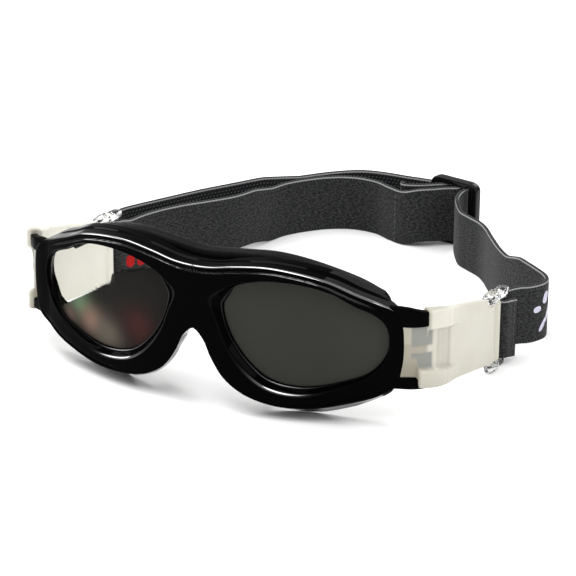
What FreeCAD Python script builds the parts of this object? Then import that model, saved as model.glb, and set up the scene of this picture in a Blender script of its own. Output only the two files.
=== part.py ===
"""Sports protective goggles: a wrapped one-piece front, two lenses, soft clip-on arms and an elastic strap.

Millimetres. +X is the wearer's left, +Y points back towards the head, +Z is up.
The shapes are drawn with the bridge at x = 0, y = 0, and the whole assembly is moved at the end so that the
origin lies under the middle of its footprint, at the level of the table that it stands on.
"""

import FreeCAD, Part
import math
import os

from FreeCAD import Vector

# ---- driving dimensions -------------------------------------------------------------------------

TABLE_Z = -0.5            # rims, rings and strap all rest at this height

WRAP_RADIUS = 135.0       # base curve of the front, about a vertical axis
WRAP_AXIS_Y = 133.7
FRAME_DEPTH = 8.0         # thickness of the front, measured along the wrap radius
CORNER_CUT = [(50.0, 22.5), (67.0, 15.0)]     # plan line along which its rear corners are cut flat

LENS_FRONT = 3.1          # depths below the front surface
LENS_THICK = 2.0
LENS_LAP = 1.1            # how far the lens reaches under the rim
BEVEL_DEPTH = 2.0
BEVEL_WIDTH = 1.8
SEAT_CLEARANCE = 0.1

CUSHION_GAP = 0.1         # between the front's back face and the cushions
CUSHION_DEPTH = 5.5
NOSE_PAD_DEPTH = 5.0

ARM_X = 72.4              # middle of the arm's panel
BEND_RADIUS = 10.0        # plan radius from the wrap into the arm
BEND_Y = 26.6             # where that bend ends
WRAP_ANGLE = 27.0         # direction of the front's ends, degrees from +X
PRONG_THICK = 2.6
PRONG_LEAD = 6.0          # straight length that roots each prong in the front
PRONG_TAIL = 2.4          # straight length behind the bend
PRONG_COVER = 1.1         # wall of the socket above the upper prong
PRONG_FIT = 0.1

PANEL_THICK = 1.8
WEB_THICK = 1.6
SOCKET_HALF = 2.7
SOCKET_START = -36.0      # bend angles at which the sockets, the web and its windows begin and end
WEB_LEAD = 1.8            # straight length of the web ahead of the bend, up to the front's edge
WINDOW_START = -46.0
WINDOW_STOP = -6.0
WINDOW_FLOOR = -0.2       # the windows are cut from outside to just past the web's middle
ROOT_TAIL = 6.4
ROOT_END_Y = BEND_Y + ROOT_TAIL     # the moulded root ends just ahead of the flex line
FLEX_Y = 34.2

# The arm seen from the side, as (y, z): its rear end fits between the caps of the ring.
ARM_LOW = [(8, 15.6), (64, 3.4), (67, 2.75), (80, 2.75)]
ARM_HIGH = [(80, 23.85), (63.0, 23.85), (61.8, 25.9), (56, 28.4), (24, 37.7), (8, 40.0)]

RING_FRONT_Y = 70.5       # the bar inside the arm's hem
RING_REAR_Y = 76.6        # the bar that carries the strap
HEM_RADIUS = 2.1
BORE_RADIUS = 1.05
FRONT_BAR_RADIUS = 0.98
REAR_BAR_RADIUS = 1.1
RING_HALF_WIDTH = 2.0
RING_NOSE_Y = 63.8
CAP_THICK = 1.9
RING_LOW_Z = 0.6
RING_TOP_Z = 26.0

STRAP_WIDTH = 20.5
STRAP_THICK = 1.5
STRAP_Z_RING = 3.0        # lower edge of the strap at the rings and at its sides; its back is on the table
STRAP_Z_SIDE = 1.2
LOOP_RADIUS = REAR_BAR_RADIUS + 0.15 + STRAP_THICK / 2
PRINT_THICK = 0.12
PRINT_GAP = 0.08

SLIDER_X = 15.8           # centre bar of the slider
SLIDER_Y = 166.2
SLIDER_TURN = -10.0       # degrees about Z
SLIDER_WIDTH = 19.5
SLIDER_HEIGHT = 24.6
SLIDER_THICK = 3.0
SLIDER_BAR = 2.4          # width of the outer bars
SLIDER_CORE = 0.85        # half width and half thickness of the centre bar
SLIDER_END = 1.5          # thickness of the bars above and below the slots
SLIDER_LIFT = TABLE_Z + SLIDER_HEIGHT / 2
STRAP_Z_SLIDER = 1.6      # the slider lifts the strap off the table by its lower bar

TALL = 80.0               # longer than any part is high or deep, for cutting tools

# The front's outline on the +X side, as (x, z), from under the bridge round the temple to the brow's middle.
# It is stepped in three layers: the rims reach lower and the brow higher towards the back.
FRONT_HALF = [(0, 26.3), (3.4, 23.4), (6.2, 17.6), (10.6, 11.2), (17.5, 6.6), (27, 4.2), (38, 4.4),
              (49, 6.9), (58, 9.8), (63.4, 13.6), (65.2, 20), (65.6, 28), (64.8, 35), (62.2, 39.0)]
MIDDLE_HALF = [(0, 25.8), (3.7, 22.9), (6.7, 16.9), (11.0, 10.3), (17.4, 5.5), (26, 3.1), (36, 3.2),
               (48, 5.7), (57.4, 8.8), (62.8, 12.8), (64.4, 20), (64.7, 28), (63.9, 35.2), (61.6, 39.4)]
REAR_HALF = [(0, 25.2), (4.1, 22.3), (7.3, 16.0), (11.6, 9.2), (17.4, 4.2), (25.4, 1.8), (34, 1.7),
             (43, 3.2), (52, 5.6), (58, 8.0), (62.2, 11.6), (63.2, 20), (63.3, 28), (62.7, 35.4),
             (60.6, 39.8)]
BROW = [(58, 41.3), (51, 44.4), (44, 47.6), (35, 49.8), (25, 50.7), (14, 49.6), (6.5, 48.2), (0, 47.8)]
FRAME_LAYERS = [(FRONT_HALF, 0.0, 0.0, 3.3), (MIDDLE_HALF, 0.4, 2.5, 5.8), (REAR_HALF, 0.8, 5.0, FRAME_DEPTH)]

# Each rim stands on a lip behind its lowest part.
FOOT = [(25, 1.6), (29, 0.1), (34, -0.45), (40, 0.0), (45, 1.7), (47, 4.0), (36, 3.6), (26, 4.0)]
FOOT_DEPTH = 1.6

# Clear aperture of the left lens, as (x, z).
APERTURE = [(9.9, 36), (11.4, 28), (17, 19), (25, 12.6), (35, 11), (46, 13.6), (56, 18.2), (60.4, 25),
            (60, 33), (57, 36.6), (51, 39.6), (44, 43.4), (34, 45.5), (22, 45), (13, 41.6)]

CUSHION_TOP = [(0, 50.4), (12, 51.3), (23, 51.8), (32, 50.5), (41.5, 47.6), (48.5, 44.6), (53.6, 41.4)]
CUSHION_END = [(55.4, 39.2), (54.6, 37.0)]
CUSHION_DROP = 5.5        # height of the brow cushion
NOSE_EDGE = [(7.2, 19.8), (10.0, 14.8), (12.6, 10.6), (15.3, 7.2), (18.8, 4.2)]
NOSE_PAD_WIDTH = 4.2

# Plan of the strap's centreline, as (x, y), one list for each section of the one band.
LEFT_FLAP = [(77.2, 86.4), (75.3, 81.4), (ARM_X + LOOP_RADIUS, 77.6)]
LEFT_LEAD = [(ARM_X - LOOP_RADIUS, 77.6), (71.7, 81.6), (74.4, 86.2), (75.6, 88.0)]
SIDE_LEFT = [(75.8, 88.3), (78.0, 91.4), (79.3, 94.6), (79.0, 98.2), (76.8, 101.4), (72.6, 104.8), (64, 111),
             (57.5, 116.4)]
RUN_LEFT = [(57.2, 116.7), (52.3, 121.6), (45.2, 130.6), (40, 137.6), (36.2, 141.4), (31, 144.6),
            (26.0, 147.9), (22.6, 152.2)]
SLIDER_BEND = [(22.4, 152.5), (20.7, 156.5), (20.0, 161), (20.05, 165.5), (19.2, 168.4), (16.6, 170.6),
               (13, 171.5), (9.0, 171.5)]
BACK_OUTER = [(8.7, 171.5), (2, 171.3), (-6, 170.7), (-14, 170.4), (-22, 168.6), (-30, 163.0), (-39.5, 152.3),
              (-48, 140)]
SIDE_OUTER = [(-48.3, 139.6), (-54.5, 129.8), (-62, 118), (-69.4, 104.4), (-74.4, 95), (-77.2, 88.6),
              (-76.9, 83.6), (-75.7, 80.4)]
RIGHT_LOOP_OUT = [(-75.6, 80.1), (-74.8, 78.6), (-ARM_X - LOOP_RADIUS, 77.2)]
RIGHT_LOOP_IN = [(-ARM_X + LOOP_RADIUS, 77.2), (-70.1, 78.8), (-69.7, 80.2)]
SIDE_INNER = [(-69.6, 80.5), (-68.2, 87), (-65.6, 94), (-60.5, 102.8), (-54, 111.2), (-48.4, 119.4),
              (-45.4, 128), (-43.4, 137)]
BACK_INNER = [(-43.3, 137.4), (-41, 144.3), (-36.4, 151), (-30, 157.4), (-22, 161.4), (-13, 161.4),
              (-6, 158.2), (0, 156.2), (5.6, 156.8)]
FOLD_FRONT = [(5.9, 156.9), (9.6, 159.3), (13.6, 162.6), (16.4, 164.1)]
FOLD_BACK = [(14.8, 167.9), (11.6, 166.4), (7.2, 163.0), (2.6, 160.0), (-1.6, 158.9), (-2.6, 160.6)]


# ---- helpers ------------------------------------------------------------------------------------

def smooth_closed(points, y=0.0):
    """A closed smooth wire through (x, z) points, in the plane at y."""
    curve = Part.BSplineCurve()
    curve.interpolate(Points=[Vector(x, y, z) for x, z in points], PeriodicFlag=True)
    return Part.Wire([curve.toShape()])


def grown(points, distance, count=36):
    """The closed curve through (x, z) points, moved outwards by distance and given as points again."""
    edge = smooth_closed(points).Edges[0]
    turn = 1.0 if edge.Curve.getD1(edge.FirstParameter)[1].z < 0 else -1.0
    moved = []
    for k in range(count):
        t = edge.FirstParameter + (edge.LastParameter - edge.FirstParameter) * k / count
        at, along = edge.Curve.getD1(t)
        along.normalize()
        moved.append((at.x + turn * distance * along.z, at.z - turn * distance * along.x))
    return moved


def prism(points):
    """The solid inside a closed outline, running right through the front from front to back."""
    face = Part.Face(smooth_closed(points, -TALL / 4))
    return face.extrude(Vector(0, TALL, 0))


def wrap_cylinder(depth):
    return Part.makeCylinder(WRAP_RADIUS - depth, 2 * TALL, Vector(0, WRAP_AXIS_Y, -TALL))


def layer(near, far):
    """The curved layer between two depths below the front surface."""
    return wrap_cylinder(near).cut(wrap_cylinder(far))


def symmetric(half):
    """A closed outline from its +X half, whose first and last points lie on the middle."""
    return half + [(-x, z) for x, z in half[-2:0:-1]]


def mirrored(shape):
    return shape.mirror(Vector(0, 0, 0), Vector(1, 0, 0))


def box(x0, x1, y0, y1, z0, z1):
    return Part.makeBox(x1 - x0, y1 - y0, z1 - z0, Vector(x0, y0, z0))


def band(points, low, width=STRAP_WIDTH, thick=STRAP_THICK, shift=0.0, count=None):
    """A strip standing on edge along a smooth plan line. shift moves it sideways, to the line's left."""
    line = Part.BSplineCurve()
    line.interpolate([Vector(x, y, 0) for x, y in points])
    first, last = line.FirstParameter, line.LastParameter
    steps = count or 4 * len(points)
    sides = ([], [])
    for k in range(steps + 1):
        at, along = line.getD1(first + (last - first) * k / steps)
        left = Vector(-along.y, along.x, 0).normalize()
        sides[0].append(at + left * (shift + thick / 2))
        sides[1].append(at + left * (shift - thick / 2))
    curves = []
    for side in sides:
        curve = Part.BSplineCurve()
        curve.interpolate([Vector(p.x, p.y, low) for p in side])
        curves.append(curve)
    starts = Part.LineSegment(curves[1].StartPoint, curves[0].StartPoint)
    ends = Part.LineSegment(curves[0].EndPoint, curves[1].EndPoint)
    edges = [starts.toShape(), curves[0].toShape(), ends.toShape(), curves[1].toShape()]
    face = Part.Face(Part.Wire(Part.__sortEdges__(edges)))
    return face.extrude(Vector(0, 0, width))


def arc_points(centre, radius, start, end, count):
    """Plan points on an arc, angles in degrees from +X, both ends included."""
    found = []
    for k in range(count):
        a = math.radians(start + (end - start) * k / (count - 1))
        found.append((centre[0] + radius * math.cos(a), centre[1] + radius * math.sin(a)))
    return found


# ---- front, lenses and cushions -----------------------------------------------------------------

def bend_wall(inner, outer, low, high, start=WRAP_ANGLE - 90, stop=0.0, lead=0.0, tail=0.0):
    """A wall round the bend between the front's end and the arm.

    inner and outer are its faces' distances from the arm's middle plane, start and stop the bend's angles.
    lead and tail are straight lengths ahead of the bend and behind it.
    """
    centre = Vector(ARM_X - BEND_RADIUS, BEND_Y, low)
    edges, caps = [], []
    for reach in (BEND_RADIUS + outer, BEND_RADIUS - inner):
        spots = [math.radians(a) for a in (start, (start + stop) / 2, stop)]
        first, middle, last = [centre + Vector(math.cos(a), math.sin(a), 0) * reach for a in spots]
        run = [Part.Arc(first, middle, last)]
        if lead:
            ahead = first + Vector(math.sin(spots[0]), -math.cos(spots[0]), 0) * lead
            run.insert(0, Part.LineSegment(ahead, first))
        if tail:
            run.append(Part.LineSegment(last, last + Vector(0, tail, 0)))
        edges += [piece.toShape() for piece in run]
        caps.append((run[0].StartPoint, run[-1].EndPoint))
    edges += [Part.LineSegment(caps[0][k], caps[1][k]).toShape() for k in (0, 1)]
    face = Part.Face(Part.Wire(Part.__sortEdges__(edges)))
    return face.extrude(Vector(0, 0, high - low))


def arm_slab(y0, y1, raised=0.0):
    """A wide slab with the arm's side outline between y0 and y1, for cutting plan shapes to height."""
    corners = ARM_LOW + [(y, z + raised) for y, z in ARM_HIGH]
    ring = [Vector(TALL / 2, y, z) for y, z in corners]
    slab = Part.Face(Part.makePolygon(ring + ring[:1])).extrude(Vector(TALL, 0, 0))
    return slab.common(box(0, 2 * TALL, y0, y1, -TALL, TALL))


def prongs(clearance=0.0):
    """The two bars at the left end of the front that the arm's sockets slide over."""
    half = PRONG_THICK / 2 + clearance
    tail = PRONG_TAIL + clearance
    upper = bend_wall(half, half, 33.4 - clearance, 38.0 + clearance, lead=PRONG_LEAD, tail=tail)
    upper = upper.common(arm_slab(0, TALL, clearance - PRONG_COVER))
    lower = bend_wall(half, half, 12.6 - clearance, 16.4 + clearance, lead=PRONG_LEAD, tail=tail)
    return upper.fuse(lower)


def rear_corner():
    """What is cut off behind the left temple of the front."""
    (x0, y0), (x1, y1) = CORNER_CUT
    plan = [(x0, y0), (x1, y1), (TALL, y1), (TALL, TALL), (x0, TALL)]
    ring = [Vector(x, y, -TALL) for x, y in plan]
    return Part.Face(Part.makePolygon(ring + ring[:1])).extrude(Vector(0, 0, 2 * TALL))


def make_front_frame():
    body = None
    for half, raised, near, far in FRAME_LAYERS:
        brow = [(x, z + raised) for x, z in BROW]
        slab = prism(symmetric(half + brow)).common(layer(near, far))
        body = slab if body is None else body.fuse(slab)
    foot = prism(FOOT).common(layer(FRAME_DEPTH - 0.5, FRAME_DEPTH + FOOT_DEPTH))
    body = body.fuse(foot).fuse(mirrored(foot))
    corner = rear_corner()
    body = body.cut(corner).cut(mirrored(corner))
    seat_near = LENS_FRONT - SEAT_CLEARANCE
    seat_far = LENS_FRONT + LENS_THICK + SEAT_CLEARANCE
    cuts = [
        (BEVEL_WIDTH, -1.0, BEVEL_DEPTH),
        (0.0, -1.0, FRAME_DEPTH + 4),
        (LENS_LAP + SEAT_CLEARANCE, seat_near, seat_far),
    ]
    opening = None
    for growth, near, far in cuts:
        cut = prism(grown(APERTURE, growth)).common(layer(near, far))
        opening = cut if opening is None else opening.fuse(cut)
    body = body.fuse(prongs()).fuse(mirrored(prongs()))
    return body.cut(opening).cut(mirrored(opening)).removeSplitter()


def make_lens():
    return prism(grown(APERTURE, LENS_LAP)).common(layer(LENS_FRONT, LENS_FRONT + LENS_THICK))


def make_brow_cushion():
    lower = [(x, z - CUSHION_DROP) for x, z in reversed(CUSHION_TOP)]
    edge = CUSHION_TOP + CUSHION_END + lower
    outline = edge + [(-x, z) for x, z in edge[-2:0:-1]]
    near = FRAME_DEPTH + CUSHION_GAP
    return prism(outline).common(layer(near, near + CUSHION_DEPTH))


def make_nose_pad():
    outer = [(x + NOSE_PAD_WIDTH, z + NOSE_PAD_WIDTH / 3) for x, z in reversed(NOSE_EDGE)]
    near = FRAME_DEPTH + CUSHION_GAP
    return prism(NOSE_EDGE + outer).common(layer(near, near + NOSE_PAD_DEPTH))


# ---- arms and rings -----------------------------------------------------------------------------

def socket(low, high):
    """One socket: a rounded sleeve over a prong."""
    return bend_wall(SOCKET_HALF, SOCKET_HALF, low, high, start=SOCKET_START, tail=ROOT_TAIL)


def make_arm_root():
    """The front of the soft arm: two sockets joined by a thin web with two thinner windows."""
    half = WEB_THICK / 2
    web = bend_wall(half, half, 16.9, 32.8, lead=WEB_LEAD, tail=ROOT_TAIL)
    half = PANEL_THICK / 2
    wall = bend_wall(half, half, 0, TALL / 2, start=-10.0, tail=ROOT_TAIL)
    root = web.fuse(wall).fuse(socket(31.0, TALL / 2)).fuse(socket(0, 18.6))
    root = root.common(arm_slab(0, ROOT_END_Y))
    for low, high in ((18.2, 24.0), (25.8, 31.4)):
        root = root.cut(bend_wall(WINDOW_FLOOR, WEB_THICK, low, high, start=WINDOW_START, stop=WINDOW_STOP))
    return root.cut(prongs(PRONG_FIT)).removeSplitter()


def make_arm_panel():
    """The flexing rear of the arm, with a hem along its back edge that holds the ring's front bar."""
    half = PANEL_THICK / 2
    panel = box(ARM_X - half, ARM_X + half, FLEX_Y, RING_FRONT_Y, -TALL, TALL)
    for y, radius in ((FLEX_Y, half), (RING_FRONT_Y, HEM_RADIUS)):
        panel = panel.fuse(Part.makeCylinder(radius, 2 * TALL, Vector(ARM_X, y, -TALL)))
    bore = Part.makeCylinder(BORE_RADIUS, TALL, Vector(ARM_X, RING_FRONT_Y, -TALL / 2))
    return panel.common(arm_slab(0, TALL)).cut(bore).removeSplitter()


def make_ring():
    """The clear rectangular ring: a bar in the arm's hem, a bar for the strap and two rounded caps."""
    low, high = RING_LOW_Z, RING_TOP_Z
    tail_y = RING_REAR_Y + RING_HALF_WIDTH
    ring = None
    for z in (low, high - CAP_THICK):
        middle = box(ARM_X - RING_HALF_WIDTH, ARM_X + RING_HALF_WIDTH, RING_NOSE_Y + RING_HALF_WIDTH,
                     tail_y - RING_HALF_WIDTH, z, z + CAP_THICK)
        cap = middle
        for y in (RING_NOSE_Y + RING_HALF_WIDTH, tail_y - RING_HALF_WIDTH):
            cap = cap.fuse(Part.makeCylinder(RING_HALF_WIDTH, CAP_THICK, Vector(ARM_X, y, z)))
        ring = cap if ring is None else ring.fuse(cap)
    for y, radius in ((RING_FRONT_Y, FRONT_BAR_RADIUS), (RING_REAR_Y, REAR_BAR_RADIUS)):
        ring = ring.fuse(Part.makeCylinder(radius, high - low - 1, Vector(ARM_X, y, low + 0.5)))
    return ring.removeSplitter()


# ---- strap, prints, seams and slider ------------------------------------------------------------

def ring_loop(side, flap, lead):
    """The strap round a ring's rear bar. side is 1 on the left and -1 on the right."""
    centre = (side * ARM_X, RING_REAR_Y)
    turn = arc_points(centre, LOOP_RADIUS, 0 if side > 0 else 180, -180 if side > 0 else 360, 9)
    return flap[:-1] + turn + lead[1:]


def make_slider():
    """The three-bar slider that sets the strap's length."""
    half_x, half_z = SLIDER_WIDTH / 2, SLIDER_HEIGHT / 2
    plate = box(-half_x, half_x, -SLIDER_THICK / 2, SLIDER_THICK / 2, -half_z, half_z)
    corners = [e for e in plate.Edges if abs(e.Vertexes[0].Y - e.Vertexes[-1].Y) > 1]
    plate = plate.makeFillet(3.0, corners)
    slot_half = SLIDER_HEIGHT / 2 - SLIDER_END
    slot_x0, slot_x1 = SLIDER_CORE, half_x - SLIDER_BAR
    for x0, x1 in ((slot_x0, slot_x1), (-slot_x1, -slot_x0)):
        plate = plate.cut(box(x0, x1, -SLIDER_THICK, SLIDER_THICK, -slot_half, slot_half))
    recess = box(-slot_x0 - 0.1, slot_x0 + 0.1, SLIDER_CORE, SLIDER_THICK, -slot_half, slot_half)
    plate = plate.cut(recess).cut(recess.mirror(Vector(0, 0, 0), Vector(0, 1, 0)))
    plate.rotate(Vector(0, 0, 0), Vector(0, 0, 1), SLIDER_TURN)
    plate.translate(Vector(SLIDER_X, SLIDER_Y, SLIDER_LIFT))
    return plate


def make_seam(points, low, shift, places):
    """Rows of stitches across a strap layer: one short thread for each stitch."""
    line = Part.BSplineCurve()
    line.interpolate([Vector(x, y, 0) for x, y in points])
    first, last = line.FirstParameter, line.LastParameter
    stitches = []
    pitch, length, thread = 2.5, 1.7, 0.45
    for place in places:
        at, along = line.getD1(first + (last - first) * place)
        left = Vector(-along.y, along.x, 0).normalize()
        turn = math.degrees(math.atan2(along.y, along.x))
        for k in range(int(STRAP_WIDTH / pitch)):
            stitch = box(-thread / 2, thread / 2, -thread / 2, thread / 2, 0, length)
            stitch.rotate(Vector(0, 0, 0), Vector(0, 0, 1), turn)
            stitch.translate(at + left * shift + Vector(0, 0, low + 0.4 + pitch * k))
            stitches.append(stitch)
    return Part.makeCompound(stitches)


def make_print(points, low, width, side):
    """A thin printed patch on one face of the strap."""
    shift = side * (STRAP_THICK / 2 + PRINT_GAP + PRINT_THICK / 2)
    return band(points, low, width, PRINT_THICK, shift)


def make_strap():
    fold = FOLD_FRONT[:-1] + arc_points((SLIDER_X, SLIDER_Y), LOOP_RADIUS, -60, 110, 7) + FOLD_BACK[1:]
    left_loop = ring_loop(1, LEFT_FLAP, LEFT_LEAD)
    right_loop = ring_loop(-1, RIGHT_LOOP_OUT, RIGHT_LOOP_IN)
    return {
        "strap_loop_left": band(left_loop, STRAP_Z_RING),
        "strap_side_left": band(SIDE_LEFT, STRAP_Z_SIDE),
        "strap_run_left": band(RUN_LEFT, TABLE_Z),
        "strap_slider_bend": band(SLIDER_BEND, STRAP_Z_SLIDER),
        "strap_back_outer": band(BACK_OUTER, TABLE_Z),
        "strap_side_outer": band(SIDE_OUTER, STRAP_Z_SIDE),
        "strap_loop_right": band(right_loop, STRAP_Z_RING),
        "strap_side_inner": band(SIDE_INNER, STRAP_Z_SIDE),
        "strap_back_inner": band(BACK_INNER, TABLE_Z),
        "strap_slider_fold": band(fold, STRAP_Z_SLIDER),
        "seam_left": make_seam(LEFT_FLAP[:2], STRAP_Z_RING, -STRAP_THICK / 2, (0.15, 0.75)),
        "seam_slider": make_seam(FOLD_BACK[2:5], STRAP_Z_SLIDER, -STRAP_THICK / 2, (0.55, 0.95)),
        "print_left": make_print(SIDE_LEFT[1:4], 5.0, 13.0, -1),
        "print_right": make_print(SIDE_INNER[1:4], 6.0, 12.0, 1),
    }


def make_parts():
    arm_root, arm_panel, ring = make_arm_root(), make_arm_panel(), make_ring()
    lens, nose_pad = make_lens(), make_nose_pad()
    parts = {"front_frame": make_front_frame(), "brow_cushion": make_brow_cushion()}
    pairs = {"lens": lens, "nose_pad": nose_pad, "arm_root": arm_root, "arm_panel": arm_panel,
             "strap_ring": ring}
    for name, shape in pairs.items():
        parts[name + "_left"] = shape
        parts[name + "_right"] = mirrored(shape)
    parts.update(make_strap())
    parts["slider"] = make_slider()
    return parts


def main():
    os.makedirs("parts", exist_ok=True)
    parts = make_parts()
    whole = FreeCAD.BoundBox()
    for shape in parts.values():
        whole.add(shape.optimalBoundingBox(False))
    shift = Vector(-whole.Center.x, -whole.Center.y, -whole.ZMin)
    print("moved by", [round(v, 4) for v in shift], "size", whole.XLength, whole.YLength, whole.ZLength)
    for name, shape in parts.items():
        shape.translate(shift)
        print(f"{name:20s} valid {shape.isValid()} solids {len(shape.Solids)} volume {shape.Volume:.1f}")
        shape.exportStep(f"parts/{name}.step")


main()
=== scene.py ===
"""The look of the sports protective goggles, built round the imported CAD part.

Shapes are drawn in millimetres in the part's own drawing frame (bridge at x = 0, +X the wearer's left, front
towards -Y) and placed with to_frame(), which reads the drawing's origin from the CAD boxes.
"""

import math

import bmesh
import bpy
import numpy as np
from mathutils import Matrix, Vector


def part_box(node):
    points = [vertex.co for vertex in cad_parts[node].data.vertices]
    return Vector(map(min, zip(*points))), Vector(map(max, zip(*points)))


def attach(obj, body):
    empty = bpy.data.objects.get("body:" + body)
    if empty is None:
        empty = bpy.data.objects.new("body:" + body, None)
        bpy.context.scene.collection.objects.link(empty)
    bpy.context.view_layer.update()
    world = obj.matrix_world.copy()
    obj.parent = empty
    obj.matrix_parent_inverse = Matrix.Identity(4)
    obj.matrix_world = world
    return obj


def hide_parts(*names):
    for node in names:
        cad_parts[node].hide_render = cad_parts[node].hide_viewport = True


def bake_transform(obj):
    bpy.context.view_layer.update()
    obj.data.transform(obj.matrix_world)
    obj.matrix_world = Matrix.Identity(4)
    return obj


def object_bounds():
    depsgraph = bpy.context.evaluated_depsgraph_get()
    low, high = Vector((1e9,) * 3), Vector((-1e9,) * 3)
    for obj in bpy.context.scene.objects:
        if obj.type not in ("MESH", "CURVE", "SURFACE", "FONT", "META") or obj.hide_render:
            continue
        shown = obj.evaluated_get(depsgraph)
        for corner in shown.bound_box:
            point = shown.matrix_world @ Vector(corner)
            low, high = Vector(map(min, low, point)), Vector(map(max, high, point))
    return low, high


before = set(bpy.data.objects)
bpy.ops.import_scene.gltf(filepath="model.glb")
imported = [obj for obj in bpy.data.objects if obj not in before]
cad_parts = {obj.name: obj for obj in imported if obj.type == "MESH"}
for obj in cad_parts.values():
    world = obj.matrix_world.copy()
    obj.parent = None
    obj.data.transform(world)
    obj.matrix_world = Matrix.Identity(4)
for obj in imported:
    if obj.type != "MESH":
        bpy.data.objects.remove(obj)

CAD_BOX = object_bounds()
MM = 0.001

# ---- driving dimensions, mm ----------------------------------------------------------------------

WRAP_RADIUS = 135.0
WRAP_AXIS_Y = 133.7
FRONT_DEPTH = 8.0
LENS_CENTRE = (35.0, 28.0)
LENS_FRONT = 3.1
LENS_THICK = 2.0
TABLE_Z = -0.5

ARM_X = 72.4
BEND_RADIUS = 10.0
BEND_Y = 26.6
BEND_START = -63.0
RING_FRONT_Y = 70.5
RING_REAR_Y = 76.6
RING_LOW_Z = 0.6
RING_TOP_Z = 26.0
RING_REAR_WALL = 2.0
STRAP_WIDTH = 20.5
STRAP_THICK = 1.4
LOOP_RADIUS = 2.0
SLIDER = (15.8, 166.2, -10.0)
SLIDER_SIZE = (19.5, 24.6, 3.4)
BAR_HALF = 0.95
SIDE_NAME = {1: "left", -1: "right"}

ring_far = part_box("strap_ring_left")[1]
lens_gap = (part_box("lens_left")[0].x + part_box("lens_right")[1].x) / 2
ORIGIN = np.array([lens_gap / MM, ring_far.y / MM - RING_REAR_Y - RING_REAR_WALL,
                   CAD_BOX[0].z / MM - TABLE_Z])

APERTURE = [(9.9, 36), (11.4, 28), (17, 19), (25, 12.6), (35, 11), (46, 13.6), (56, 18.2), (60.4, 25),
            (60, 33), (57, 36.6), (51, 39.6), (44, 43.4), (34, 45.5), (22, 45), (13, 41.6)]
OUTLINE = [(0, 26.3), (3.4, 23.4), (6.2, 17.6), (10.6, 11.2), (17.5, 6.6), (27, 4.2), (38, 4.4), (49, 6.9),
           (58, 9.8), (63.4, 13.6), (65.2, 20), (65.6, 28), (64.8, 35), (62.2, 39.0), (58, 41.3), (51, 44.4),
           (44, 47.6), (35, 49.8), (25, 50.7), (14, 49.6), (6.5, 48.2), (0, 47.8)]
# How far the outline has moved at the back of the front, as (x, z, dx, dz) at places round it.
BACK_SHIFT = [(0, 26.3, 0, -1.1), (3.4, 23.4, 0.9, -0.6), (6.2, 17.6, 1.5, -0.2), (10.6, 11.2, 0.7, -0.6),
              (17.5, 6.6, 0.2, -2.2), (27, 4.2, 0, -3.7), (38, 4.4, 0, -4.0), (49, 6.9, 0.3, -3.6),
              (58, 9.8, -0.5, -2.4), (63.4, 13.6, -1.6, -1.6), (65.2, 20, -2.2, 0), (65.6, 28, -2.4, 0),
              (64.8, 35, -2.2, 0.3), (58, 41.3, -0.5, 0.6), (44, 47.6, 0, 0.8), (25, 50.7, 0, 0.8),
              (6.5, 48.2, 0, 0.8), (0, 47.8, 0, 0.8)]

LEFT_FLAP = [(75.3, 80.6), (74.8, 79.2), (ARM_X + LOOP_RADIUS, 77.6)]
LEFT_LEAD = [(ARM_X - LOOP_RADIUS, 77.6), (71.7, 81.6), (74.4, 86.2)]
SIDE_LEFT = [(75.8, 88.3), (78.0, 91.4), (79.3, 94.6), (79.0, 98.2), (76.8, 101.4), (72.6, 104.8), (64, 111)]
RUN_LEFT = [(57.2, 116.7), (52.3, 121.6), (45.2, 130.6), (40, 137.6), (36.2, 141.4), (31, 144.6),
            (26.0, 147.9)]
SLIDER_BEND = [(22.4, 152.5), (20.7, 156.5), (20.0, 161), (20.05, 165.5), (19.2, 168.4), (16.6, 170.6),
               (13, 171.5)]
BACK_OUTER = [(8.7, 171.5), (2, 171.3), (-6, 170.7), (-14, 170.4), (-22, 168.6), (-30, 163.0), (-39.5, 152.3)]
SIDE_OUTER = [(-48.3, 139.6), (-54.5, 129.8), (-62, 118), (-69.4, 104.4), (-74.4, 95), (-77.2, 88.6),
              (-76.9, 83.6), (-75.7, 80.4)]
SIDE_INNER = [(-69.6, 80.5), (-68.2, 87), (-65.6, 94), (-60.5, 102.8), (-54, 111.2), (-48.4, 119.4),
              (-45.4, 128)]
BACK_INNER = [(-43.3, 137.4), (-41, 144.3), (-36.4, 151), (-30, 157.4), (-22, 161.4), (-13, 161.4),
              (-6, 158.2), (0, 156.2)]
FOLD_FRONT = [(5.9, 156.9), (9.6, 159.3), (13.6, 162.6)]
FOLD_BACK = [(11.6, 166.4), (7.2, 163.0), (2.6, 160.0), (-1.6, 158.9), (-2.6, 160.6)]


# ---- curves and meshes ---------------------------------------------------------------------------

def to_frame(points):
    """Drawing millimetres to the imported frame's metres."""
    return (np.asarray(points, float) + ORIGIN) * MM


def run_along(line):
    """The length of the polyline up to each of its points."""
    return np.concatenate([[0], np.cumsum(np.linalg.norm(np.diff(line, axis=0), axis=1))])


def unit(ways):
    return ways / np.linalg.norm(ways, axis=1)[:, None]


def resample(line, count, closed=False):
    """The polyline's points at even spacing."""
    if closed:
        line = np.vstack([line, line[:1]])
    run = run_along(line)
    at = np.linspace(0, run[-1], count + 1)[:-1] if closed else np.linspace(0, run[-1], count)
    return np.stack([np.interp(at, run, line[:, k]) for k in range(line.shape[1])], 1)


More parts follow.
